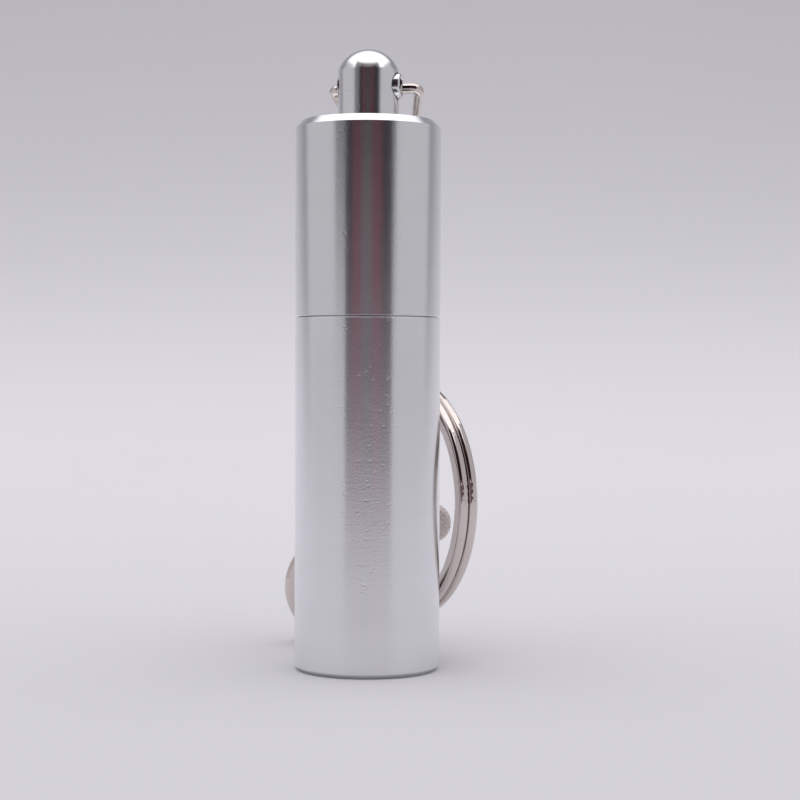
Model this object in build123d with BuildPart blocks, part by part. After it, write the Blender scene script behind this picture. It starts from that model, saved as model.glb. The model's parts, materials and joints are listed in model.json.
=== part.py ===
from build123d import *
import math
import os

# A twist-to-switch keychain flashlight that stands on its head (light pointing down), with its key
# ring gear hanging behind it. Millimetres. The body's axis is Z, the head's rim is at z = 0 and
# the tail is at the top. X points right and Y points to the back, where the chain hangs.

os.makedirs("parts", exist_ok=True)

# ---- driving sizes: the body -------------------------------------------------------------------
body_d = 16.0  # outside of the barrel and the tail cap
body_h = 60.4  # from the head's rim to the tail cap's top face
seam_h = 38.8  # where the tail cap meets the barrel
seam_gap = 0.08  # the fine line between them
seam_edge = 0.12  # broken edge on each side of that line
rim_edge = 0.5  # chamfer of the head's rim
top_edge = 0.8  # chamfer of the tail cap's top
fit = 0.05  # radial clearance of a piece that slides or turns in another
seat = 0.02  # gap between two pieces that bear on each other

# ---- driving sizes: the cell, a standard AAA ---------------------------------------------------
cell_d = 10.5
cell_l = 44.5
cell_play = 0.15  # radial room around the cell in the barrel
sleeve_t = 0.15  # printed film around the can
button_d = 3.8  # the positive end
button_h = 0.9
washer_t = 0.3

# ---- driving sizes: the head, from the rim upwards ---------------------------------------------
mouth_d = 13.4  # bore that takes the lens and the light module
bezel_set = 0.3  # how far the bezel sits inside the rim
bezel_t = 1.6
bezel_wall = 1.3
notch_w = 1.4  # the two notches for the key that screws the bezel in
notch_t = 0.6
gasket_t = 0.4
lens_t = 1.2
reflector_t = 4.1
reflector_mouth_d = 11.6
reflector_floor = 0.6  # solid ring behind the bowl
led_hole_d = 5.2  # hole at the back of the reflector
led_ring_t = 0.3
board_t = 1.0
led_w = 3.45
led_t = 0.6
dome_d = 2.8
pill_t = 3.1  # length of the module's shell
pill_shelf_t = 0.8
pill_wall = 0.9
wire_hole_d = 1.0  # the two holes for the wires to the light's board
driver_t = 0.8
contact_d = 4.0
contact_t = 0.6
chip_t = 1.0  # height of the parts on the driver board
coil_t = 1.2

# ---- driving sizes: the screw joint ------------------------------------------------------------
pitch = 1.0
crest_half = 0.1  # half the width of a thread's flat crest
flank_angle = 30.0
buried = 0.1  # how deep a thread's ridge is rooted
neck_h = 8.1  # neck above the seam
neck_d = 13.2  # plain land, and the crests of its thread
thread_depth = 0.45
thread_h = 4.3  # length of the thread on the neck
thread_room = 0.1  # clearance around the thread's crests and flanks
ring_cord = 1.0  # section of the O-ring
ring_squeeze = 0.65  # depth of its groove
land_h = 0.7  # plain land below the groove
groove_room = 0.3  # how much longer the groove is than the O-ring's section
neck_land = 0.3  # plain land above the groove, and the slope down to the thread's root
neck_slope = 0.2
thread_start = 1.1  # from the groove to the first thread
cap_smooth_h = 2.7  # smooth part of the tail cap's bore, over the O-ring

# ---- driving sizes: the tail -------------------------------------------------------------------
cap_roof = 1.2  # thickness above the spring
spring_seat_t = 0.3
spring_wire = 0.5
nub_d = 6.7
nub_h = 7.9
nub_dome = 2.4  # height of the round top
hole_h = 3.77  # cross-hole above the tail cap's top face
hole_turn = 14.0  # degrees that the cross-hole is turned, its right mouth to the front
eyelet_bore = 1.7
eyelet_wall = 0.28
eyelet_head_d = 2.8
eyelet_head_face = 3.8  # from the body's axis to the face of the head

# ---- driving sizes: the key ring gear ----------------------------------------------------------
bail_wire = 1.15
bail_bar = 9.75  # width between the wire's centres at the bar
bail_bow = 4.6  # the same at the far end
bail_l = 12.1
bail_straight = 2.2  # length of the left side before it tapers
bail_shift = 0.825  # how far the bail has slid to the right in its hole
bow_shift = 0.4  # the far end's middle, as far to the right of the body's axis
bail_turn = 12.5  # degrees that its bar lies at, skewed a little in the hole
bail_lean = 69.0  # degrees from hanging straight down, where it rests on the cap's rim
bail_corner = 0.75  # bend radii of the wire: at the bar, along a side and at the far end
bail_bend = 4.0
bow_corner = 1.7
link_wire = 1.2
link_inner_w = 2.8
link_count = 4
ring_d = 28.4
ring_wall = 1.6  # radial thickness of the split ring's wire
ring_coil_t = 1.14  # axial thickness of one coil
ring_coil_gap = 0.06
ring_turn = 57.0  # degrees that the ring's plane is turned from facing the front
ring_step = 212.0  # degrees around the ring from its right side, where its wire steps over
ring_centre = (3.65, 11.9, 18.2)

# ---- driving sizes: the lobster clasp ----------------------------------------------------------
hook_centre = (-3.45, 19.4, 6.85)
eye_centre = (7.45, 18.4, 14.6)  # middle of the swivel's eye
hook_outer_d = 13.4
hook_inner_d = 9.6
clasp_t = 2.8
neck_w = 5.2
tip_angle = 113.0  # where the hook's tip ends, measured around the hook from its neck
pin_angle = 30.0
pin_d = 1.0
knuckle_d = 2.5
lever_t = 1.2
slot_t = 1.9
post_d = 1.9
rivet_d = 3.1  # the post's peened head, inside the hook
knob_r = 1.1  # the gate's thumb knob, and where it sits around the hook
knob_turn = 50.0
collar_d = 3.0  # shoulder between the clasp's neck and the eye
collar_t = 0.7
eye_d = 4.6
eye_t = 1.7
eye_bore = 1.6
gate_wire = 0.22
gate_gap = 0.2
knuckle_room = 0.2

# ---- worked out from them ----------------------------------------------------------------------
body_r = body_d / 2
mouth_r = mouth_d / 2
bay_r = cell_d / 2 + cell_play
neck_r = neck_d / 2
root_r = neck_r - thread_depth
neck_top = seam_h + neck_h
nub_r = nub_d / 2
dome_r = (nub_r**2 + nub_dome**2) / (2 * nub_dome)
nub_top = body_h + nub_h

bezel_z = bezel_set
gasket_z = bezel_z + bezel_t
lens_z = gasket_z + gasket_t
reflector_z = lens_z + lens_t
led_ring_z = reflector_z + reflector_t
board_z = led_ring_z + led_ring_t
pill_z = board_z + board_t
pill_top = pill_z + pill_t
contact_z = pill_top
cell_z = contact_z + contact_t + seat
cell_top = cell_z + cell_l
roof_z = body_h - cap_roof
spring_z = cell_top + seat
spring_top = roof_z - spring_seat_t

groove_z = seam_h + land_h
groove_h = ring_cord + groove_room
groove_r = neck_r - ring_squeeze
cap_smooth_r = groove_r + ring_cord + fit
thread_z = groove_z + groove_h + thread_start
cap_minor_r = root_r + thread_room
cap_major_r = neck_r + thread_room
cap_step = neck_top + 0.1

hole_centre = Vector(0, 0, body_h + hole_h)
bar_centre = hole_centre - Vector(0, 0, (eyelet_bore - bail_wire) / 2 - seat)


def level(degrees):
    """A level direction, turned from X towards the front by so many degrees."""
    return Vector(math.cos(math.radians(degrees)), -math.sin(math.radians(degrees)), 0)


def outline(*points):
    """A filled outline of (radius, height) points, placed in the open sketch as given."""
    return Polygon(*points, align=None)


def save(piece, name):
    """Label a finished piece and write it as one STEP file."""
    piece.part.label = name
    export_step(piece.part, f"parts/{name}.step")


# ---- barrel: one turned tube, with the neck that the tail cap screws onto ------------------------
def thread_ridge(root, crest, half_base, half_crest, low, height):
    """A solid screw ridge that starts at angle 0 and height low, round the Z axis."""
    with BuildPart() as ridge:
        with BuildLine() as path:
            Helix(pitch, height, root, center=(0, 0, low))
        start = Plane(origin=path.line @ 0, x_dir=(1, 0, 0), z_dir=path.line % 0)
        with BuildSketch(start):
            depth = crest - root
            outline((0, -half_base), (depth, -half_crest), (depth, half_crest), (0, half_base))
        sweep(path=path.line, is_frenet=True)
    return ridge.part


# A 60 degree thread with flat crests: the ridge is rooted a little inside the neck
flank = math.tan(math.radians(flank_angle))


def ridge_half(radius, room=0):
    """Half the ridge's width at a radius, with room added square to its flanks."""
    return crest_half + (neck_r - radius) * flank + room / math.cos(math.radians(flank_angle))


neck_ridge = thread_ridge(
    root_r - buried, neck_r, ridge_half(root_r - buried), crest_half, thread_z, thread_h
)

with BuildPart() as barrel:
    with BuildSketch(Plane.XZ):
        outline(
            (mouth_r, 0),
            (body_r - rim_edge, 0),
            (body_r, rim_edge),
            (body_r, seam_h - seam_edge),
            (body_r - seam_edge, seam_h),
            (neck_r, seam_h),
            (neck_r, groove_z),
            (groove_r, groove_z),
            (groove_r, groove_z + groove_h),
            (neck_r, groove_z + groove_h),
            (neck_r, groove_z + groove_h + neck_land),
            (root_r, groove_z + groove_h + neck_land + neck_slope),
            (root_r, neck_top),
            (bay_r, neck_top),
            (bay_r, pill_top + seat),
            (mouth_r, pill_top + seat),
        )
    revolve(axis=Axis.Z)
    add(neck_ridge)
save(barrel, "barrel")

with BuildPart() as joint_o_ring:
    with BuildSketch(Plane.XZ):
        with Locations((groove_r + ring_cord / 2, groove_z + groove_h / 2)):
            Circle(ring_cord / 2 - seat / 2)
    revolve(axis=Axis.Z)
save(joint_o_ring, "joint_o_ring")

# ---- head: bezel, gasket, lens, reflector -------------------------------------------------------
bezel_r = mouth_r - fit
with BuildPart() as bezel:
    with BuildSketch(Plane.XZ):
        outline(
            (bezel_r - bezel_wall, gasket_z),
            (bezel_r - bezel_wall, bezel_z + notch_t),
            (bezel_r - bezel_wall + notch_t, bezel_z),
            (bezel_r, bezel_z),
            (bezel_r, gasket_z),
        )
    revolve(axis=Axis.Z)
    # two notches for the key that screws the bezel in
    with BuildSketch(Plane.XY.offset(bezel_z)):
        with PolarLocations(bezel_r, 2):
            Rectangle(2 * bezel_wall, notch_w)
    extrude(amount=notch_t, mode=Mode.SUBTRACT)
save(bezel, "bezel")

with BuildPart() as lens_gasket:
    with BuildSketch(Plane.XY.offset(gasket_z)):
        Circle(bezel_r)
        Circle(bezel_r - bezel_wall + 0.1, mode=Mode.SUBTRACT)
    extrude(amount=gasket_t - seat)
save(lens_gasket, "lens_gasket")

with BuildPart() as lens:
    with BuildSketch(Plane.XY.offset(lens_z)):
        Circle(bezel_r)
    extrude(amount=lens_t - seat)
    chamfer(lens.edges().filter_by(GeomType.CIRCLE), length=0.12)
save(lens, "lens")

# The bowl is a parabola from the hole around the light to the mouth
bowl_depth = reflector_t - reflector_floor
bowl_mouth_r = reflector_mouth_d / 2
bowl_hole_r = led_hole_d / 2
bowl_top = reflector_z + bowl_depth
bowl_scale = (bowl_mouth_r**2 - bowl_hole_r**2) / bowl_depth
bowl = [
    (math.sqrt(bowl_hole_r**2 + bowl_scale * down), bowl_top - down)
    for down in (step * bowl_depth / 6 for step in range(7))
]
with BuildPart() as reflector:
    with BuildSketch(Plane.XZ):
        with BuildLine():
            Spline(*bowl)
            Polyline(
                bowl[-1],
                (bezel_r, reflector_z),
                (bezel_r, led_ring_z),
                (bowl_hole_r, led_ring_z),
                bowl[0],
            )
        make_face()
    revolve(axis=Axis.Z)
save(reflector, "reflector")

# ---- light module: ring, board, light-emitting diode, shell, driver ------------------------------
with BuildPart() as led_ring:
    with BuildSketch(Plane.XY.offset(led_ring_z + seat)):
        Circle(bezel_r - 1)
        RectangleRounded(led_w + 0.3, led_w + 0.3, 0.3, mode=Mode.SUBTRACT)
    extrude(amount=led_ring_t - 2 * seat)
save(led_ring, "led_ring")

with BuildPart() as led_board:
    with BuildSketch(Plane.XY.offset(board_z)):
        Circle(bezel_r - 0.2)
        with PolarLocations(bezel_r - 1.2, 2, start_angle=90):
            Circle(0.6, mode=Mode.SUBTRACT)
    extrude(amount=board_t)
save(led_board, "led_board")

with BuildPart() as led_package:
    with BuildSketch(Plane.XY.offset(board_z - led_t)):
        RectangleRounded(led_w, led_w, 0.2)
    extrude(amount=led_t - seat)
save(led_package, "led_package")

dome_face = board_z - led_t - seat
with BuildPart() as led_dome:
    with BuildSketch(Plane.XZ):
        with BuildLine():
            CenterArc((0, dome_face), dome_d / 2, -90, 90)
            Polyline((dome_d / 2, dome_face), (0, dome_face), (0, dome_face - dome_d / 2))
        make_face()
    revolve(axis=Axis.Z)
save(led_dome, "led_dome")

pill_r = mouth_r - fit
pill_in_r = pill_r - pill_wall
driver_z = pill_top - driver_t
with BuildPart() as module_shell:
    with BuildSketch(Plane.XZ):
        outline(
            (0, pill_z + seat),
            (pill_r, pill_z + seat),
            (pill_r, pill_top),
            (pill_in_r, pill_top),
            (pill_in_r, pill_z + pill_shelf_t),
            (0, pill_z + pill_shelf_t),
        )
    revolve(axis=Axis.Z)
    # two holes for the wires to the light's board
    with BuildSketch(Plane.XY.offset(pill_z)):
        with PolarLocations(bezel_r - 1.9, 2, start_angle=90):
            Circle(wire_hole_d / 2)
    extrude(amount=pill_shelf_t + seat, mode=Mode.SUBTRACT)
save(module_shell, "module_shell")

with BuildPart() as driver_board:
    with BuildSketch(Plane.XY.offset(driver_z)):
        Circle(pill_in_r - fit)
    extrude(amount=driver_t)
save(driver_board, "driver_board")

# Controller, two capacitors and a coil on the front of the driver board
with BuildPart() as driver_parts:
    with BuildSketch(Plane.XY.offset(driver_z - seat)):
        with Locations((-1.9, 0)):
            Rectangle(2.0, 3.0)
        with Locations((1.8, 1.7), (1.8, -1.7)):
            Rectangle(1.2, 2.0)
    extrude(amount=-chip_t)
    with BuildSketch(Plane.XY.offset(driver_z - seat)):
        with Locations((3.6, 0)):
            Circle(0.9)
    extrude(amount=-coil_t)
save(driver_parts, "driver_parts")

with BuildPart() as positive_contact:
    with BuildSketch(Plane.XY.offset(contact_z + seat)):
        Circle(contact_d / 2)
    extrude(amount=contact_t - seat)
    chamfer(positive_contact.edges().group_by(Axis.Z)[-1], length=0.2)
save(positive_contact, "positive_contact")

# ---- cell: button down on the contact, flat end up against the spring ----------------------------
can_r = cell_d / 2 - sleeve_t
can_z = cell_z + button_h
with BuildPart() as cell_can:
    with BuildSketch(Plane.XY.offset(can_z + washer_t)):
        Circle(can_r)
    extrude(amount=cell_l - button_h - washer_t)
    fillet(cell_can.edges().group_by(Axis.Z)[0], radius=0.5)
    fillet(cell_can.edges().group_by(Axis.Z)[-1], radius=0.3)
save(cell_can, "cell_can")

with BuildPart() as cell_sleeve:
    with BuildSketch(Plane.XY.offset(can_z + washer_t + 0.5)):
        Circle(can_r + sleeve_t)
        Circle(can_r + seat / 2, mode=Mode.SUBTRACT)
    extrude(amount=cell_l - button_h - washer_t - 1.0)
save(cell_sleeve, "cell_sleeve")

with BuildPart() as cell_washer:
    with BuildSketch(Plane.XY.offset(can_z)):
        Circle(can_r - 0.4)
        Circle(button_d / 2 + 0.2, mode=Mode.SUBTRACT)
    extrude(amount=washer_t - seat)
save(cell_washer, "cell_washer")

with BuildPart() as cell_button:
    with BuildSketch(Plane.XY.offset(cell_z)):
        Circle(button_d / 2)
    extrude(amount=button_h + washer_t - seat)
    fillet(cell_button.edges().group_by(Axis.Z)[0], radius=0.3)
save(cell_button, "cell_button")

# ---- tail: cap, spring and its seat --------------------------------------------------------------
# The cap's thread stands in from its bore, half a turn behind the neck's, with room between them
cap_ridge_half = pitch / 2 - ridge_half(cap_minor_r, thread_room)
cap_ridge_root = cap_major_r + buried
cap_ridge = thread_ridge(
    cap_ridge_root,
    cap_minor_r,
    pitch / 2 - ridge_half(cap_ridge_root, thread_room),
    cap_ridge_half,
    thread_z + pitch / 2,
    thread_h - pitch / 2,
)

hole_dir = level(hole_turn)
hole_plane = Plane(origin=hole_centre, x_dir=hole_dir, z_dir=-level(hole_turn - 90))
hole_axis = Axis(origin=hole_centre, direction=hole_dir)
sleeve_r = eyelet_bore / 2 + eyelet_wall
spot_s = eyelet_head_face - 1.0  # spot face that the eyelet's head sits on
flare_s = -(nub_r - 0.5)  # where the eyelet's far end starts to flare
flare_r = sleeve_r + 0.35
flare_end = -(nub_r - 0.15)
bay_top_r = bay_r + 0.1

with BuildPart() as tail_cap:
    with BuildSketch(Plane.XZ):
        with BuildLine():
            ThreePointArc(
                (nub_r, nub_top - nub_dome),
                (dome_r * math.sin(0.6), nub_top - dome_r * (1 - math.cos(0.6))),
                (0, nub_top),
            )
            Polyline(
                (0, nub_top),
                (0, roof_z),
                (bay_top_r, roof_z),
                (bay_top_r, cap_step),
                (cap_major_r, cap_step),
                (cap_major_r, seam_h + cap_smooth_h + 0.3),
                (cap_smooth_r, seam_h + cap_smooth_h),
                (cap_smooth_r, seam_h + seam_gap),
                (body_r - seam_edge, seam_h + seam_gap),
                (body_r, seam_h + seam_gap + seam_edge),
                (body_r, body_h - top_edge),
                (body_r - top_edge, body_h),
                (nub_r, body_h),
                (nub_r, nub_top - nub_dome),
            )
        make_face()
    revolve(axis=Axis.Z)
    add(cap_ridge)
    # the cross-hole, with a spot face on the right and a countersink on the left
    with BuildSketch(hole_plane):
        outline(
            (-nub_r - 1, 0),
            (-nub_r - 1, flare_r + 0.5),
            (flare_end, flare_r + seat),
            (flare_s, sleeve_r + seat),
            (spot_s, sleeve_r + seat),
            (spot_s, eyelet_head_d / 2 + 0.1),
            (nub_r + 1, eyelet_head_d / 2 + 0.1),
            (nub_r + 1, 0),
        )
    revolve(axis=hole_axis, mode=Mode.SUBTRACT)
save(tail_cap, "tail_cap")

bore_r = eyelet_bore / 2
head_r = eyelet_head_d / 2
with BuildPart() as eyelet:
    with BuildSketch(hole_plane):
        with BuildLine():
            Polyline(
                (flare_end, flare_r),
                (flare_s, sleeve_r),
                (spot_s + seat, sleeve_r),
                (spot_s + seat, head_r),
                (eyelet_head_face - 0.35, head_r),
            )
            ThreePointArc(
                (eyelet_head_face - 0.35, head_r),
                (eyelet_head_face - 0.1, head_r - 0.1),
                (eyelet_head_face, head_r - 0.35),
            )
            Polyline(
                (eyelet_head_face, head_r - 0.35),
                (eyelet_head_face - 0.15, bore_r),
                (flare_s, bore_r),
                (flare_end, bore_r + 0.35),
                (flare_end, flare_r),
            )
        make_face()
    revolve(axis=hole_axis)
save(eyelet, "eyelet")

with BuildPart() as spring_seat:
    with BuildSketch(Plane.XY.offset(roof_z - spring_seat_t)):
        Circle(bay_top_r - fit)
    extrude(amount=spring_seat_t - seat)
save(spring_seat, "spring_seat")

# A flat cone of wire, squeezed between the cell and the seat
spring_rise = spring_top - spring_z - spring_wire - 2 * seat
with BuildPart() as tail_spring:
    with BuildLine() as coil:
        Helix(
            spring_rise / 2.5,
            spring_rise,
            bay_r - 1.2,
            center=(0, 0, spring_z + spring_wire / 2 + seat),
            cone_angle=-55,
        )
    with BuildSketch(Plane(origin=coil.line @ 0, z_dir=coil.line % 0)):
        Circle(spring_wire / 2)
    sweep(path=coil.line, is_frenet=True)
save(tail_spring, "tail_spring")

# ---- bail: a bar through the eyelet, closed by a tapering bow ------------------------------------
lean = math.radians(bail_lean)
bar_dir = level(bail_turn)
back_dir = level(bail_turn - 90)
down_dir = back_dir * math.sin(lean) + Vector(0, 0, -math.cos(lean))
bail_plane = Plane(origin=bar_centre, x_dir=bar_dir, z_dir=bar_dir.cross(down_dir))
bail_left = bail_shift - bail_bar / 2
bail_right = bail_shift + bail_bar / 2
bail_sides = [
    (bail_left, 0),
    (bail_right, 0),
    (bow_shift + bail_bow / 2, bail_l),
    (bow_shift - bail_bow / 2, bail_l),
    (bail_left, bail_straight),
]
with BuildPart() as bail:
    with BuildLine(bail_plane) as bail_path:
        FilletPolyline(
            *bail_sides,
            radius=[bail_corner, bail_corner, bow_corner, bow_corner, bail_bend],
            close=True,
        )
    with BuildSketch(Plane(origin=bail_path.line @ 0, z_dir=bail_path.line % 0)):
        Circle(bail_wire / 2)
    sweep(path=bail_path.line)
save(bail, "bail")

# ---- chain: oval links between the bail's bow and the split ring ---------------------------------
bow_point = bar_centre + bar_dir * bow_shift + down_dir * bail_l
ring_up = Vector(*ring_centre) + Vector(0, 0, ring_d / 2 - ring_wall)
ring_yaw = math.radians(ring_turn)
ring_across = Vector(math.cos(ring_yaw), -math.sin(ring_yaw), 0)
ring_normal = Vector(math.sin(ring_yaw), math.cos(ring_yaw), 0)
touch = 0.05  # gap where two pieces of the chain hang on each other

chain_top = bow_point + Vector(0, 0, (bail_wire + link_wire) / 2 + touch)
link_inner_r = link_inner_w / 2
ring_half_t = ring_coil_t + ring_coil_gap / 2
# the ring's flat inside bridges the link's round end, so it stops short of its bottom
bridge = link_inner_r - math.sqrt(link_inner_r**2 - ring_half_t**2)
chain_end = ring_up - Vector(0, 0, link_wire / 2 + touch + bridge)
chain_run = chain_end - chain_top
chain_down = chain_run.normalized()
link_c = (chain_run.length + (link_count - 1) * (link_wire + touch)) / link_count
link_pitch = link_c - link_wire - touch
link_half_w = (link_inner_w + link_wire) / 2
first_azimuth = -bail_turn
last_azimuth = -ring_turn + 360
link_step = (last_azimuth - first_azimuth) / (link_count - 1)


def link_frame(index):
    """The plane of one link: origin at its top wire's centre, local y up the chain."""
    azimuth = math.radians(first_azimuth + index * link_step)
    facing = Vector(math.cos(azimuth), math.sin(azimuth), 0)
    across = chain_down.cross(facing).normalized()
    return Plane(
        origin=chain_top + chain_down * (index * link_pitch),
        x_dir=across,
        z_dir=across.cross(-chain_down),
    )


for index in range(link_count):
    with BuildPart() as link:
        with BuildLine(link_frame(index)) as loop:
            right = Line((link_half_w, -link_half_w), (link_half_w, link_half_w - link_c))
            JernArc(right @ 1, right % 1, link_half_w, -180)
            left = Line((-link_half_w, link_half_w - link_c), (-link_half_w, -link_half_w))
            JernArc(left @ 1, left % 1, link_half_w, -180)
        with BuildSketch(Plane(origin=loop.line @ 0, z_dir=loop.line % 0)):
            Circle(link_wire / 2)
        sweep(path=loop.line)
    save(link, f"chain_link_{index + 1}")

# ---- split ring: two flat coils of one wire, joined by a step ------------------------------------
ring_plane = Plane(origin=ring_centre, x_dir=ring_across, z_dir=ring_normal)
coil_r = ring_d / 2 - ring_wall / 2
coil_step = (ring_coil_t + ring_coil_gap) / 2
step_half = 9  # degrees on each side of the step
low_coil = ring_plane.offset(-coil_step)
high_coil = ring_plane.offset(coil_step)
with BuildPart() as split_ring:
    with BuildLine() as wire:
        with BuildLine(low_coil):
            low = CenterArc((0, 0), coil_r, ring_step + step_half + 1, 360 - 2 * step_half - 1)
        with BuildLine(high_coil):
            high = CenterArc((0, 0), coil_r, ring_step + step_half, 360 - 2 * step_half - 1)
        Spline(low @ 1, high @ 0, tangents=[low % 1, high % 0])
    start = Plane(origin=low @ 0, x_dir=ring_normal, z_dir=low % 0)
    with BuildSketch(start):
        RectangleRounded(ring_coil_t, ring_wall, 0.4)
    sweep(path=wire.line)
save(split_ring, "split_ring")

# ---- lobster clasp, hooked on the ring -----------------------------------------------------------
hook_c = Vector(*hook_centre)
clasp_dir = (Vector(*eye_centre) - hook_c).normalized()
clasp_l = (Vector(*eye_centre) - hook_c).length
front = Vector(0, -1, 0)
facing = (front - clasp_dir * front.dot(clasp_dir)).normalized()
clasp_plane = Plane(origin=hook_c, x_dir=clasp_dir, z_dir=facing)

hook_ro = hook_outer_d / 2
hook_ri = hook_inner_d / 2
hook_rm = (hook_ro + hook_ri) / 2
neck_end = clasp_l - eye_d / 2 - collar_t
pin_a = math.radians(pin_angle)
pin_at = (hook_rm * math.cos(pin_a), hook_rm * math.sin(pin_a))
cheek_angle = pin_angle + 11
post_r = post_d / 2
rivet_r = rivet_d / 2

# The gate's end and the hook's tip are cut on arcs round the pin, so that the gate swings past
tip_x = hook_rm * math.cos(math.radians(tip_angle))
tip_y = hook_rm * math.sin(math.radians(tip_angle))
gate_r = math.hypot(tip_x - pin_at[0], tip_y - pin_at[1])

with BuildPart() as clasp_body:
    with BuildSketch(clasp_plane.offset(-clasp_t / 2)):
        Circle(hook_ro)
        with Locations(((hook_ri + neck_end) / 2, 0)):
            Rectangle(neck_end - hook_ri, neck_w)
        Circle(hook_ri, mode=Mode.SUBTRACT)
    extrude(amount=clasp_t)
    # the mouth that the gate closes
    with BuildSketch(clasp_plane.offset(-clasp_t / 2)):
        with BuildLine():
            gap = CenterArc((0, 0), 1.2 * hook_ro, cheek_angle, tip_angle + 30 - cheek_angle)
            Polyline(gap @ 1, (0, 0), gap @ 0)
        make_face()
        with Locations(pin_at):
            Circle(gate_r + gate_gap, mode=Mode.INTERSECT)
    extrude(amount=clasp_t, mode=Mode.SUBTRACT)
    chamfer(clasp_body.faces().filter_by(clasp_plane).edges(), length=0.45)
    # slot between the two cheeks for the lever's knuckle
    with BuildSketch(clasp_plane.offset(-slot_t / 2)):
        with Locations(pin_at):
            Circle(knuckle_d / 2 + knuckle_room)
        with BuildLine():
            way = CenterArc((0, 0), hook_ro + 1, pin_angle, cheek_angle - pin_angle + 1)
            Polyline(way @ 1, (0, 0), way @ 0)
        make_face()
    extrude(amount=slot_t, mode=Mode.SUBTRACT)
    # the pin's hole through both cheeks, and the swivel post's stepped hole along the neck
    with BuildSketch(clasp_plane.offset(-clasp_t)):
        with Locations(pin_at):
            Circle(pin_d / 2 + seat / 2)
    extrude(amount=2 * clasp_t, mode=Mode.SUBTRACT)
    with BuildSketch(clasp_plane):
        outline(
            (hook_ri - 1, 0),
            (hook_ri - 1, rivet_r + 0.2),
            (hook_ri + 0.6, rivet_r + 0.2),
            (hook_ri + 0.6, post_r + fit),
            (neck_end + 1, post_r + fit),
            (neck_end + 1, 0),
        )
    revolve(axis=Axis(origin=hook_c, direction=clasp_dir), mode=Mode.SUBTRACT)
save(clasp_body, "clasp_body")

with BuildPart() as lever_pin:
    with BuildSketch(clasp_plane.offset(-clasp_t / 2)):
        with Locations(pin_at):
            Circle(pin_d / 2)
    extrude(amount=clasp_t)
save(lever_pin, "lever_pin")

# The gate: a curved bar with a knuckle round the pin and a knob for the thumb
lever_low = slot_t / 2 - fit - lever_t
knob_a = math.radians(knob_turn)
knob_at = ((hook_ro + 0.5) * math.cos(knob_a), (hook_ro + 0.5) * math.sin(knob_a))
with BuildPart() as lever:
    with BuildSketch(clasp_plane.offset(lever_low)):
        with BuildLine():
            outer = CenterArc((0, 0), hook_ro - 0.1, pin_angle, tip_angle + 30 - pin_angle)
            inner = CenterArc((0, 0), hook_ri + 0.3, pin_angle, tip_angle + 30 - pin_angle)
            Line(outer @ 0, inner @ 0)
            Line(outer @ 1, inner @ 1)
        make_face()
        with Locations(pin_at):
            Circle(gate_r, mode=Mode.INTERSECT)
        with Locations(knob_at):
            Circle(knob_r)
        with Locations(pin_at):
            Circle(knuckle_d / 2)
            Circle(pin_d / 2 + fit, mode=Mode.SUBTRACT)
    extrude(amount=lever_t)
save(lever, "lever")

# The gate's spring: two turns of fine wire round the pin, beside the knuckle
spring_low = -slot_t / 2 + gate_wire / 2 + fit
spring_room = lever_low - gate_wire / 2 - fit - spring_low
coil_at = clasp_plane.offset(spring_low).from_local_coords(Vector(pin_at[0], pin_at[1], 0))
with BuildPart() as lever_spring:
    with BuildLine() as gate_coil:
        Helix(spring_room / 1.5, spring_room, pin_d / 2 + 0.3, center=coil_at, direction=facing)
    with BuildSketch(Plane(origin=gate_coil.line @ 0, z_dir=gate_coil.line % 0)):
        Circle(gate_wire / 2)
    sweep(path=gate_coil.line, is_frenet=True)
save(lever_spring, "lever_spring")

# The swivel: a post peened inside the hook, a shoulder, and a flat round eye outside
collar_r = collar_d / 2
eye_r = eye_d / 2
post_end = clasp_l - eye_bore / 2 - 0.6  # the post runs into the eye, short of its hole
with BuildPart() as swivel_post:
    with BuildSketch(clasp_plane):
        outline(
            (hook_ri - 0.45, 0),
            (hook_ri - 0.45, rivet_r - 0.35),
            (hook_ri - 0.1, rivet_r),
            (hook_ri + 0.5, rivet_r),
            (hook_ri + 0.5, post_r),
            (neck_end + 0.1, post_r),
            (neck_end + 0.1, collar_r - 0.2),
            (neck_end + 0.3, collar_r),
            (neck_end + collar_t, collar_r),
            (neck_end + collar_t + 0.2, collar_r - 0.2),
            (post_end, eye_t / 2 - 0.1),
            (post_end, 0),
        )
    revolve(axis=Axis(origin=hook_c, direction=clasp_dir))
    with BuildSketch(clasp_plane.offset(-eye_t / 2)):
        with Locations((clasp_l, 0)):
            Circle(eye_r)
    extrude(amount=eye_t)
    eye_faces = swivel_post.faces().filter_by(clasp_plane)
    chamfer(eye_faces.edges().filter_by(GeomType.CIRCLE), length=0.3)
    with BuildSketch(clasp_plane.offset(-eye_t / 2)):
        with Locations((clasp_l, 0)):
            Circle(eye_bore / 2)
    extrude(amount=eye_t, mode=Mode.SUBTRACT)
save(swivel_post, "swivel_post")
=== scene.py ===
# %% [markdown]
# # A keychain flashlight in satin aluminium
# This file dresses a model of a small twist flashlight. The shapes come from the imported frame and
# are used as they are. Here each piece gets its finish, and the set, the lights and the camera
# are built around them. Every length is in metres and every angle in degrees unless it says so.

# %% Load the frame
import json
import math

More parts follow.
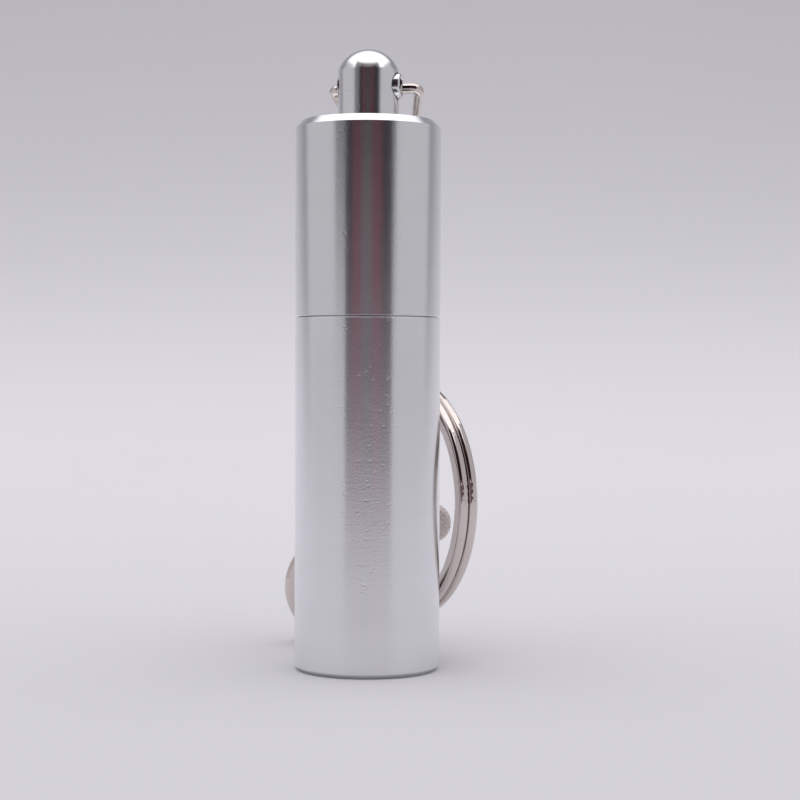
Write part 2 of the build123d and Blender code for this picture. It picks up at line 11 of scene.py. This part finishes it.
import bpy
from mathutils import Euler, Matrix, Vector


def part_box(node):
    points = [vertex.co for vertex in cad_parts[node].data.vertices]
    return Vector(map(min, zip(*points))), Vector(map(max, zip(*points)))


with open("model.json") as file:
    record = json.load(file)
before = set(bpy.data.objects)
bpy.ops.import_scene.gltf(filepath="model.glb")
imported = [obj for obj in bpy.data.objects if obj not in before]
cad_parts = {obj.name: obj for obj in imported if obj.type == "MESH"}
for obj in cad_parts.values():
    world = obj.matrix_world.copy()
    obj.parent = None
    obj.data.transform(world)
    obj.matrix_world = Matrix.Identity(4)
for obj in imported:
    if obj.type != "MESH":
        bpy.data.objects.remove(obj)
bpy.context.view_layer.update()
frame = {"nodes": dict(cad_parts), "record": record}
nodes = frame["nodes"]
record = frame["record"]

# %% [markdown]
# ## Measures that place everything else
# The barrel's own box gives the body's width. The camera is placed in body widths, so that the
# picture stays right if the flashlight is ever made another size.

# %% Body width
barrel_low, barrel_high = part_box("barrel")
body_width = barrel_high.x - barrel_low.x
print("body width", round(body_width, 4))

# %% [markdown]
# ## The camera
# A small object is usually taken from a hand's width or two away with a longish lens, which
# keeps its sides parallel. The camera stands a little above the middle of the body and looks
# slightly down, so the upper half is seen from below and the foot from above.

# %% Camera
CAMERA_PLACE = (0.223, -13.24, 2.124)
CAMERA_DOWN = math.radians(1.15)
CAMERA_ROLL = math.radians(-0.20)
LENS_MM, SENSOR_MM = 86.3, 36.0

camera_data = bpy.data.cameras.new("camera")
camera_data.lens = LENS_MM
camera_data.sensor_width = SENSOR_MM
camera_data.clip_start = 0.01
camera_data.clip_end = 20
camera = bpy.data.objects.new("camera", camera_data)
camera.location = [body_width * k for k in CAMERA_PLACE]
camera.rotation_euler = Euler((math.pi / 2 - CAMERA_DOWN, CAMERA_ROLL, 0), "XYZ")
bpy.context.scene.collection.objects.link(camera)
bpy.context.scene.camera = camera
bpy.context.scene.view_settings.view_transform = "Standard"
print("camera at", [round(c, 4) for c in camera.location])

# %% [markdown]
# ## Small helpers for materials
# A material is a graph of nodes. Two helpers keep the graphs short to write: one makes a node
# and sets its inputs, the other joins an output to an input.


# %% Node helpers
def add_node(tree, kind, inputs=None, **settings):
    """A node with its settings and the values of its unlinked inputs."""
    node = tree.nodes.new(kind)
    for name, value in settings.items():
        setattr(node, name, value)
    for name, value in (inputs or {}).items():
        node.inputs[name].default_value = value
    return node


def link(tree, source, output, target, target_input):
    tree.links.new(source.outputs[output], target.inputs[target_input])


def new_material(name):
    """An empty material with a Principled BSDF that is joined to the output."""
    made = bpy.data.materials.new(name)
    made.use_nodes = True
    tree = made.node_tree
    tree.nodes.clear()
    shader = add_node(tree, "ShaderNodeBsdfPrincipled")
    output = add_node(tree, "ShaderNodeOutputMaterial")
    link(tree, shader, "BSDF", output, "Surface")
    return made, tree, shader


def new_group(name, inputs, outputs):
    """A shader node group: inputs are (name, kind, default), outputs are (name, kind)."""
    group = bpy.data.node_groups.new(name, "ShaderNodeTree")
    for socket, kind, default in inputs:
        made = group.interface.new_socket(socket, in_out="INPUT", socket_type=kind)
        made.default_value = default
    for socket, kind in outputs:
        group.interface.new_socket(socket, in_out="OUTPUT", socket_type=kind)
    entry = group.nodes.new("NodeGroupInput")
    leave = group.nodes.new("NodeGroupOutput")
    return group, entry, leave


def place_group(tree, group, inputs=None):
    """A group in a material, with that material's own values."""
    node = tree.nodes.new("ShaderNodeGroup")
    node.node_tree = group
    for name, value in (inputs or {}).items():
        node.inputs[name].default_value = value
    return node


FLOAT = "NodeSocketFloat"
print("helpers ready")

# %% [markdown]
# ## Turning marks
# A lathe tool leaves a fine groove round every turned piece. The grooves are far closer than the
# eye resolves, so most of their work is done by an anisotropic shader, but their unevenness shows
# as faint rings. The group stretches a noise round the Z axis: fine along the height, constant
# around the body.


# %% Group: turning marks
def make_turning_marks():
    group, entry, leave = new_group(
        "turning_marks",
        [("Rings per metre", FLOAT, 2500.0), ("Drift", FLOAT, 12.0)],
        [("Rings", FLOAT), ("Bands", FLOAT)],
    )
    place = add_node(group, "ShaderNodeTexCoord")
    parts = add_node(group, "ShaderNodeSeparateXYZ")
    link(group, place, "Object", parts, "Vector")
    scaled = add_node(group, "ShaderNodeMath", operation="MULTIPLY")
    link(group, parts, "Z", scaled, 0)
    link(group, entry, "Rings per metre", scaled, 1)
    fine_place = add_node(group, "ShaderNodeCombineXYZ")
    link(group, scaled, 0, fine_place, "Z")
    for axis in "XY":
        slow = add_node(group, "ShaderNodeMath", operation="MULTIPLY")
        link(group, parts, axis, slow, 0)
        link(group, entry, "Drift", slow, 1)
        link(group, slow, 0, fine_place, axis)
    fine = add_node(group, "ShaderNodeTexNoise", {"Scale": 1.0, "Detail": 2.0})
    link(group, fine_place, "Vector", fine, "Vector")
    band_place = add_node(
        group, "ShaderNodeMapping", {"Scale": (0.05, 0.05, 0.09)}, vector_type="POINT"
    )
    link(group, fine_place, "Vector", band_place, "Vector")
    bands = add_node(group, "ShaderNodeTexNoise", {"Scale": 1.0, "Detail": 3.0})
    link(group, band_place, "Vector", bands, "Vector")
    link(group, fine, "Fac", leave, "Rings")
    link(group, bands, "Fac", leave, "Bands")
    return group


turning_marks = make_turning_marks()
print("group", turning_marks.name)

# %% [markdown]
# ## Handling wear
# Things carried with keys pick up hair scratches in every direction and tiny pits. Stretched
# noises, cut off so that only their peaks remain, give sparse short lines; a fine noise cut the
# same way gives pits. The group puts out masks, and each material decides how deep they are.


# %% Group: handling wear
# The noise level that counts as a peak, at an amount of 0 and of 1.
RAREST_PEAK, COMMONEST_PEAK = 0.78, 0.62
PEAK_SHARPNESS = 12.0
# Three sets of hair scratches, each with its turn in radians and its stretch.
HAIR_WAYS = ((0.5, 0.06), (1.9, 0.05), (2.8, 0.08))


def make_handling_wear():
    group, entry, leave = new_group(
        "handling_wear",
        [("Size", FLOAT, 900.0), ("Amount", FLOAT, 0.5)],
        [("Scratches", FLOAT), ("Pits", FLOAT), ("Smudges", FLOAT)],
    )
    place = add_node(group, "ShaderNodeTexCoord")
    scaled = add_node(group, "ShaderNodeVectorMath", operation="SCALE")
    link(group, place, "Object", scaled, "Vector")
    link(group, entry, "Size", scaled, "Scale")
    threshold = add_node(
        group, "ShaderNodeMapRange", {"To Min": RAREST_PEAK, "To Max": COMMONEST_PEAK}
    )
    link(group, entry, "Amount", threshold, "Value")

    def peaks(source, output):
        over = add_node(group, "ShaderNodeMath", operation="SUBTRACT")
        link(group, source, output, over, 0)
        link(group, threshold, "Result", over, 1)
        sharp = add_node(group, "ShaderNodeMath", operation="MULTIPLY", use_clamp=True)
        sharp.inputs[1].default_value = PEAK_SHARPNESS
        link(group, over, 0, sharp, 0)
        return sharp

    kept = []
    for turn, stretch in HAIR_WAYS:
        way = add_node(
            group,
            "ShaderNodeMapping",
            {"Rotation": (turn, turn * 1.7, turn * 0.6), "Scale": (1.0, stretch, 1.0)},
        )
        link(group, scaled, "Vector", way, "Vector")
        hairs = add_node(group, "ShaderNodeTexNoise", {"Scale": 1.0, "Detail": 1.0})
        link(group, way, "Vector", hairs, "Vector")
        kept.append(peaks(hairs, "Fac"))
    first = add_node(group, "ShaderNodeMath", operation="MAXIMUM")
    link(group, kept[0], 0, first, 0)
    link(group, kept[1], 0, first, 1)
    both = add_node(group, "ShaderNodeMath", operation="MAXIMUM")
    link(group, first, 0, both, 0)
    link(group, kept[2], 0, both, 1)
    link(group, both, 0, leave, "Scratches")
    dots = add_node(group, "ShaderNodeTexNoise", {"Scale": 2.2, "Detail": 0.0})
    link(group, scaled, "Vector", dots, "Vector")
    link(group, peaks(dots, "Fac"), 0, leave, "Pits")
    cloud = add_node(group, "ShaderNodeTexNoise", {"Scale": 0.22, "Detail": 4.0})
    link(group, scaled, "Vector", cloud, "Vector")
    link(group, cloud, "Fac", leave, "Smudges")
    return group


handling_wear = make_handling_wear()
print("group", handling_wear.name)

# %% [markdown]
# ## Worn edges
# Plating and fine turning wear first on outside edges, which end up smoother and a little
# brighter. Cycles can compare the true normal with one taken from rounded corners: where the two
# differ there is an edge.


# %% Group: edge mask
def make_edge_mask():
    group, entry, leave = new_group("edge_mask", [("Width", FLOAT, 0.00015)], [("Edge", FLOAT)])
    rounded = add_node(group, "ShaderNodeBevel", samples=4)
    link(group, entry, "Width", rounded, "Radius")
    true = add_node(group, "ShaderNodeNewGeometry")
    dot = add_node(group, "ShaderNodeVectorMath", operation="DOT_PRODUCT")
    link(group, rounded, "Normal", dot, 0)
    link(group, true, "Normal", dot, 1)
    spread = add_node(
        group, "ShaderNodeMapRange", {"From Min": 0.999, "From Max": 0.93}, clamp=True
    )
    link(group, dot, "Value", spread, "Value")
    link(group, spread, "Result", leave, "Edge")
    return group


edge_mask = make_edge_mask()
print("group", edge_mask.name)

# %% [markdown]
# ## From a mask to a finish
# The groups put out plain values between 0 and 1. Three helpers turn such a value into what a
# shader needs: another span for its roughness, a blend of two colours, or a bump that tilts the
# surface. Bumps can be stacked, the finer one on the coarser one.


# %% Helpers that join groups to a shader
def ramp(tree, source, output, low, high):
    """Stretch a 0 to 1 value to another span."""
    node = add_node(tree, "ShaderNodeMapRange", {"To Min": low, "To Max": high}, clamp=True)
    link(tree, source, output, node, "Value")
    return node


def mix_colour(tree, factor, output, first, second):
    node = add_node(tree, "ShaderNodeMix", data_type="RGBA")
    link(tree, factor, output, node, 0)
    node.inputs[6].default_value = (*first, 1)
    node.inputs[7].default_value = (*second, 1)
    return node


def add_bump(tree, shader, source, output, depth, below=None):
    """Bump from a height; a second bump can lie below it."""
    node = add_node(tree, "ShaderNodeBump", {"Strength": 1.0, "Distance": depth})
    link(tree, source, output, node, "Height")
    if below is not None:
        link(tree, below, "Normal", node, "Normal")
    link(tree, node, "Normal", shader, "Normal")
    return node


print("joining helpers ready")

# %% [markdown]
# ## Satin turned aluminium
# Bare aluminium, turned fine and left natural. Its grooves run round the body and spread every
# reflection up and down, so the surroundings show as long upright stripes. That is what an
# anisotropic shader does. The tangent goes round the Z axis with the grooves, and a quarter turn
# then points the shader's blur along the body, because it blurs along its tangent.


# %% Material: turned aluminium
QUARTER_TURN = 0.25
ALUMINIUM_DARK = (0.775, 0.780, 0.790)
ALUMINIUM_LIGHT = (0.835, 0.840, 0.850)
ALUMINIUM_EDGE = (0.88, 0.88, 0.89)
RING_DEPTH, GRAIN_DEPTH, PIT_DEPTH = 0.000001, 0.0000045, -0.000004


def make_turned_aluminium(name, rings, roughness, stretch):
    made, tree, shader = new_material(name)
    shader.inputs["Metallic"].default_value = 1.0
    shader.inputs["Anisotropic"].default_value = stretch
    shader.inputs["Anisotropic Rotation"].default_value = QUARTER_TURN
    around = add_node(tree, "ShaderNodeTangent", direction_type="RADIAL", axis="Z")
    link(tree, around, "Tangent", shader, "Tangent")
    marks = place_group(tree, turning_marks, {"Rings per metre": rings})
    wear = place_group(tree, handling_wear, {"Size": 1100.0, "Amount": 0.30})
    edge = place_group(tree, edge_mask, {"Width": 0.0001})
    tint = mix_colour(tree, marks, "Bands", ALUMINIUM_DARK, ALUMINIUM_LIGHT)
    bright = add_node(tree, "ShaderNodeMix", data_type="RGBA")
    link(tree, edge, "Edge", bright, 0)
    link(tree, tint, 2, bright, 6)
    bright.inputs[7].default_value = (*ALUMINIUM_EDGE, 1)
    link(tree, bright, 2, shader, "Base Color")
    rough = ramp(tree, wear, "Smudges", roughness * 0.9, roughness * 1.12)
    link(tree, rough, "Result", shader, "Roughness")
    rings_bump = add_bump(tree, shader, marks, "Rings", RING_DEPTH)
    place = add_node(tree, "ShaderNodeTexCoord")
    grain = add_node(tree, "ShaderNodeTexNoise", {"Scale": 4200.0, "Detail": 2.0})
    link(tree, place, "Object", grain, "Vector")
    grain_bump = add_bump(tree, shader, grain, "Fac", GRAIN_DEPTH, below=rings_bump)
    add_bump(tree, shader, wear, "Pits", PIT_DEPTH, below=grain_bump)
    return made


satin_aluminium = make_turned_aluminium("satin_aluminium", 2500.0, 0.205, 0.40)
bright_aluminium = make_turned_aluminium("bright_aluminium", 3500.0, 0.16, 0.3)
print("materials", satin_aluminium.name, bright_aluminium.name)

# %% [markdown]
# ## Bright nickel plate
# The ring, chain, bail and clasp are steel or zinc with bright nickel. Nickel is warmer than
# chrome. Wire is drawn before it is plated, so the finish is not a perfect mirror: it has a soft
# waviness and hair scratches.


# %% Material: nickel plate
NICKEL_DARK, NICKEL_LIGHT = (0.66, 0.60, 0.565), (0.74, 0.675, 0.64)
SCRATCHED_ROUGHER = 0.22
SCRATCH_DEPTH = -0.0000015


def make_nickel(name, roughness, wave_depth, grain_depth=0.0):
    made, tree, shader = new_material(name)
    shader.inputs["Metallic"].default_value = 1.0
    wear = place_group(tree, handling_wear, {"Size": 1500.0, "Amount": 0.55})
    tint = mix_colour(tree, wear, "Smudges", NICKEL_DARK, NICKEL_LIGHT)
    link(tree, tint, 2, shader, "Base Color")
    rough = ramp(tree, wear, "Scratches", roughness, roughness + SCRATCHED_ROUGHER)
    link(tree, rough, "Result", shader, "Roughness")
    place = add_node(tree, "ShaderNodeTexCoord")
    wave = add_node(tree, "ShaderNodeTexNoise", {"Scale": 420.0, "Detail": 1.5})
    link(tree, place, "Object", wave, "Vector")
    waves = add_bump(tree, shader, wave, "Fac", wave_depth)
    scratches = add_bump(tree, shader, wear, "Scratches", SCRATCH_DEPTH, below=waves)
    if grain_depth:
        grain = add_node(tree, "ShaderNodeTexNoise", {"Scale": 5200.0, "Detail": 2.0})
        link(tree, place, "Object", grain, "Vector")
        add_bump(tree, shader, grain, "Fac", grain_depth, below=scratches)
    return made


nickel_plate = make_nickel("nickel_plate", 0.06, 0.00005)
cast_nickel = make_nickel("cast_nickel", 0.08, 0.00007)
grained_nickel = make_nickel("grained_nickel", 0.26, 0.00003, grain_depth=0.00022)
print("materials", nickel_plate.name, cast_nickel.name, grained_nickel.name)


# %% [markdown]
# ## The finishes inside
# The lens, the reflector and the light's board show through the head's mouth; the cell, the
# driver and the springs show only when the flashlight is opened. Each still gets the finish of
# the real thing, with a fine noise in its colour, roughness or relief.


# %% Material: plain finishes with a little life
def make_finish(name, colour, roughness, metallic=0.0, grain=2000.0, depth=0.000004, spread=0.12):
    made, tree, shader = new_material(name)
    shader.inputs["Metallic"].default_value = metallic
    place = add_node(tree, "ShaderNodeTexCoord")
    noise = add_node(tree, "ShaderNodeTexNoise", {"Scale": grain, "Detail": 3.0})
    link(tree, place, "Object", noise, "Vector")
    darker = tuple(c * (1 - spread) for c in colour)
    tint = mix_colour(tree, noise, "Fac", darker, colour)
    link(tree, tint, 2, shader, "Base Color")
    rough = ramp(tree, noise, "Fac", roughness * 0.8, min(1.0, roughness * 1.2))
    link(tree, rough, "Result", shader, "Roughness")
    add_bump(tree, shader, noise, "Fac", depth)
    return made, tree, shader


spring_steel, _, _ = make_finish("spring_steel", (0.60, 0.59, 0.58), 0.28, 1.0)
brass, _, _ = make_finish("brass", (0.86, 0.66, 0.32), 0.25, 1.0)
rubber_black, _, _ = make_finish("rubber_black", (0.02, 0.02, 0.02), 0.65)
white_plastic, _, _ = make_finish("white_plastic", (0.85, 0.85, 0.82), 0.45)
board_white, _, _ = make_finish("board_white", (0.82, 0.82, 0.80), 0.3)
board_green, _, _ = make_finish("board_green", (0.03, 0.20, 0.08), 0.3)
chip_black, _, _ = make_finish("chip_black", (0.03, 0.03, 0.032), 0.5, grain=6000.0)
sleeve_film, _, _ = make_finish("sleeve_film", (0.06, 0.07, 0.09), 0.22)
fibre_washer, _, _ = make_finish("fibre_washer", (0.62, 0.57, 0.45), 0.8, grain=4000.0)
phosphor_yellow, _, _ = make_finish("phosphor_yellow", (0.95, 0.80, 0.18), 0.15)
reflector_silver, _, _ = make_finish(
    "reflector_silver", (0.93, 0.93, 0.95), 0.12, 1.0, grain=1600.0, depth=0.00005, spread=0.04
)
lens_clear, _, lens_shader = make_finish(
    "lens_clear", (0.97, 0.98, 1.0), 0.03, depth=0.0000002, spread=0.01
)
lens_shader.inputs["Transmission Weight"].default_value = 1.0
lens_shader.inputs["IOR"].default_value = 1.49
print("inside finishes ready")

# %% [markdown]
# ## Dressing the frame's pieces
# The record names a material slot for each piece. Going by that list gives each piece the
# material of the same name; a few pieces then get a closer match.

# %% Hand out the materials
by_slot = {
    "satin_aluminium": satin_aluminium, "bright_aluminium": bright_aluminium,
    "nickel_plate": nickel_plate, "spring_steel": spring_steel, "brass": brass,
    "rubber_black": rubber_black, "white_plastic": white_plastic,
    "board_white": board_white, "board_green": board_green, "chip_black": chip_black,
    "sleeve_film": sleeve_film, "fibre_washer": fibre_washer,
    "phosphor_yellow": phosphor_yellow, "reflector_silver": reflector_silver,
    "lens_clear": lens_clear,
}
closer_match = {
    "clasp_body": cast_nickel,
    "lever": cast_nickel,
    "swivel_post": grained_nickel,
}
for part in record["subparts"]:
    name = part["node"]
    material = closer_match.get(name, by_slot[part["material_slot"]])
    nodes[name].data.materials.clear()
    nodes[name].data.materials.append(material)
print("dressed", len(record["subparts"]), "pieces")

# %% [markdown]
# ## The set: paper
# A pale paper sweep carries the flashlight. Its colour is faintly uneven. The light's fall-off is
# painted into its colour: it darkens slowly with distance and again a little close to the camera,
# as the light on paper does when the light is centred over the middle of it. A colour ramp along Y
# holds that painted fall-off.

# %% Material: sweep paper
PAPER_DARK, PAPER_LIGHT = (0.80, 0.79, 0.825), (0.82, 0.81, 0.845)
FALL_START, FALL_END = -0.1, 0.9
# Painted light fall-off: how bright the paper's colour is made at each place along Y.
PAINTED_FALLOFF_STOPS = (
    (-0.05, 0.86), (0.06, 0.93), (0.22, 1.0), (0.36, 0.97), (0.50, 0.80), (0.66, 0.70), (0.85, 0.68),
)

paper, paper_tree, paper_shader = new_material("sweep_paper")
paper_shader.inputs["Roughness"].default_value = 0.9
paper_shader.inputs["Specular IOR Level"].default_value = 0.1
paper_place = add_node(paper_tree, "ShaderNodeTexCoord")
fibre = add_node(paper_tree, "ShaderNodeTexNoise", {"Scale": 9.0, "Detail": 2.0})
link(paper_tree, paper_place, "Object", fibre, "Vector")
paper_tint = mix_colour(paper_tree, fibre, "Fac", PAPER_DARK, PAPER_LIGHT)
fall_place = add_node(paper_tree, "ShaderNodeSeparateXYZ")
link(paper_tree, paper_place, "Object", fall_place, "Vector")
along = add_node(
    paper_tree, "ShaderNodeMapRange", {"From Min": FALL_START, "From Max": FALL_END}, clamp=True
)
link(paper_tree, fall_place, "Y", along, "Value")
painted_falloff = add_node(paper_tree, "ShaderNodeValToRGB")
painted_falloff.color_ramp.interpolation = "B_SPLINE"
stops = painted_falloff.color_ramp.elements
for index, (place_y, bright) in enumerate(PAINTED_FALLOFF_STOPS):
    where = (place_y - FALL_START) / (FALL_END - FALL_START)
    if index < len(stops):
        stop = stops[index]
        stop.position = where
    else:
        stop = stops.new(where)
    stop.color = (bright, bright, bright, 1)
link(paper_tree, along, "Result", painted_falloff, "Fac")
# Painted light: the fall-off ramp darkens the paper's own colour.
paper_with_painted_falloff = add_node(paper_tree, "ShaderNodeMix", data_type="RGBA", blend_type="MULTIPLY")
paper_with_painted_falloff.inputs[0].default_value = 1.0
link(paper_tree, paper_tint, 2, paper_with_painted_falloff, 6)
link(paper_tree, painted_falloff, "Color", paper_with_painted_falloff, 7)
link(paper_tree, paper_with_painted_falloff, 2, paper_shader, "Base Color")
print("material", paper.name)

# %% [markdown]
# ## The set: the sweep's shape
# The floor curves up gently into a wall, so that no line crosses the picture where one ends and
# the other starts. The outline is a list of (y, z) points with a quarter circle between the flat
# floor and the wall, and the sheet is that outline drawn out sideways.


# %% Paper sweep
def add_mesh(name, verts, faces, material):
    mesh = bpy.data.meshes.new(name)
    mesh.from_pydata(verts, [], faces)
    mesh.materials.append(material)
    made = bpy.data.objects.new(name, mesh)
    bpy.context.scene.collection.objects.link(made)
    return made


def strip_faces(spans):
    """Quads for a strip of vertex pairs."""
    return [(2 * i, 2 * i + 1, 2 * i + 3, 2 * i + 2) for i in range(spans)]


FLOOR_NEAR, FLOOR_FAR, BEND, WALL_TOP = -1.2, 0.12, 1.0, 2.2
BEND_STEPS = 24
HALF_WIDTH = 2.0
outline = [(FLOOR_NEAR, 0.0), (FLOOR_FAR, 0.0)]
for step in range(1, BEND_STEPS + 1):
    turn = math.pi / 2 * step / BEND_STEPS
    outline.append((FLOOR_FAR + BEND * math.sin(turn), BEND * (1 - math.cos(turn))))
outline.append((FLOOR_FAR + BEND, WALL_TOP))
sheet = [(side * HALF_WIDTH, y, z) for y, z in outline for side in (-1, 1)]
sweep = add_mesh("paper_sweep", sheet, strip_faces(len(outline) - 1), paper)
for face in sweep.data.polygons:
    face.use_smooth = True
print("sweep of", len(outline), "points")

# %% [markdown]
# ## The figure behind the camera
# A satin cylinder shows its whole surroundings squeezed into upright stripes, so what stands
# round it matters as much as the lights. A dark figure in a dull red shirt stands behind the
# camera, wider at the shoulders, and the long dark stripe down the front of the flashlight is
# its reflection. Cards on a circle round the flashlight are enough to make it. They are painted
# reflections: they glow a little, each with its own painted light and shade from low to high,
# and take no part in lighting the set.


# %% Cards that make the figure
FIGURE_DISTANCE = 0.30
CARD_COLUMNS = 6
GRADIENT_HEIGHTS = (0.03, 0.07, 0.10)


def make_painted_reflection_glow(name, shades):
    """A material that only glows, as a painted reflection: its colour changes with height through
    three shades of painted light and shade.
    """
    made, tree, shader = new_material(name)
    shader.inputs["Base Color"].default_value = (0, 0, 0, 1)
    shader.inputs["Specular IOR Level"].default_value = 0.0
    # Emission only: the card's colours are painted light, a glowing painted reflection of the
    # figure.
    shader.inputs["Emission Strength"].default_value = 1.0
    place = add_node(tree, "ShaderNodeTexCoord")
    height = add_node(tree, "ShaderNodeSeparateXYZ")
    link(tree, place, "Object", height, "Vector")
    low, _, top = GRADIENT_HEIGHTS
    span = add_node(tree, "ShaderNodeMapRange", {"From Min": low, "From Max": top}, clamp=True)
    link(tree, height, "Z", span, "Value")
    colours = add_node(tree, "ShaderNodeValToRGB")
    elements = colours.color_ramp.elements
    elements.new(0.5)
    for stop, where, shade in zip(elements, GRADIENT_HEIGHTS, shades):
        stop.position = (where - low) / (top - low)
        stop.color = (*shade, 1)
    link(tree, span, "Result", colours, "Fac")
    link(tree, colours, "Color", shader, "Emission Color")
    return made


def add_card(name, left, right, low, glow_material):
    """An upright card on a circle round the flashlight, between two azimuths.

    Each edge is a (bottom, top) pair, so that the card can widen upwards. The card shows in
    reflections and hides from the camera.
    """
    verts = []
    for column in range(CARD_COLUMNS + 1):
        for row, height in enumerate((low, HEAD_TOP)):
            turn = math.radians(left[row] + (right[row] - left[row]) * column / CARD_COLUMNS)
            x, y = math.sin(turn) * FIGURE_DISTANCE, -math.cos(turn) * FIGURE_DISTANCE
            verts.append((x, y, height))
    made = add_mesh(name, verts, strip_faces(CARD_COLUMNS), glow_material)
    made.visible_camera = False
    made.visible_shadow = False
    made.visible_diffuse = False


# Painted light and shade of each glowing card, from low to high.
sleeve = make_painted_reflection_glow(
    "sleeve_painted_reflection", ((0.13, 0.11, 0.125), (0.018, 0.016, 0.017), (0.006, 0.006, 0.007))
)
red = make_painted_reflection_glow("red_painted_reflection", ((0.17, 0.09, 0.115), (0.16, 0.045, 0.065), (0.05, 0.014, 0.020)))
middle = make_painted_reflection_glow(
    "middle_painted_reflection", ((0.10, 0.09, 0.10), (0.17, 0.155, 0.165), (0.012, 0.011, 0.012))
)
shoulder = make_painted_reflection_glow(
    "shoulder_painted_reflection", ((0.62, 0.60, 0.63), (0.33, 0.32, 0.335), (0.12, 0.12, 0.12))
)

FIGURE_FOOT, SHOULDER_FOOT, HEAD_TOP = 0.0, 0.05, 0.60
LEFT_SHOULDER, RIGHT_SHOULDER = (-50, -76), (44, 60)
edges = ((-34, -40), (-23, -23), (-9, -9), (7, 7), (22, 22), (38, 46))
for index, glow_material in enumerate((sleeve, red, middle, red, sleeve)):
    add_card(f"figure_{index}", edges[index], edges[index + 1], FIGURE_FOOT, glow_material)
add_card("shoulder_left", LEFT_SHOULDER, edges[0], SHOULDER_FOOT, shoulder)
add_card("shoulder_right", edges[-1], RIGHT_SHOULDER, SHOULDER_FOOT, shoulder)
print("figure of", len(edges) + 1, "cards")

# %% [markdown]
# ## The light
# One wide, soft light hangs above. It brightens the paper, the dome and the chamfer, and leaves
# only a faint shadow at the foot. The room itself gives the rest: an even pale glow, a little
# darker overhead, which is what the sides of the body reflect.

# %% Top light and room
LIGHT_HEIGHT, LIGHT_WIDTH, LIGHT_WATTS = 0.75, 1.3, 5.0
LIGHT_AIM = Vector((0, 0.02, 0))
light_data = bpy.data.lights.new("top_light", "AREA")
light_data.shape = "SQUARE"
light_data.size = LIGHT_WIDTH
light_data.energy = LIGHT_WATTS
light_data.color = (1.0, 0.99, 1.0)
top_light = bpy.data.objects.new("top_light", light_data)
top_light.location = (0, 0, LIGHT_HEIGHT)
top_light.rotation_mode = "QUATERNION"
top_light.rotation_quaternion = (LIGHT_AIM - top_light.location).to_track_quat("-Z", "Y")
bpy.context.scene.collection.objects.link(top_light)

ROOM_LOW, ROOM_HIGH = (0.68, 0.665, 0.70), (0.56, 0.545, 0.575)
world = bpy.data.worlds.new("room")
world.use_nodes = True
room = world.node_tree
background = room.nodes["Background"]
background.inputs["Strength"].default_value = 0.95
room_place = add_node(room, "ShaderNodeTexCoord")
room_height = add_node(room, "ShaderNodeSeparateXYZ")
link(room, room_place, "Generated", room_height, "Vector")
room_span = add_node(room, "ShaderNodeMapRange", {"From Min": -0.1, "From Max": 0.2}, clamp=True)
link(room, room_height, "Z", room_span, "Value")
room_colour = mix_colour(room, room_span, "Result", ROOM_LOW, ROOM_HIGH)
link(room, room_colour, 2, background, "Color")
bpy.context.scene.world = world
print("light", top_light.name, "in", world.name)
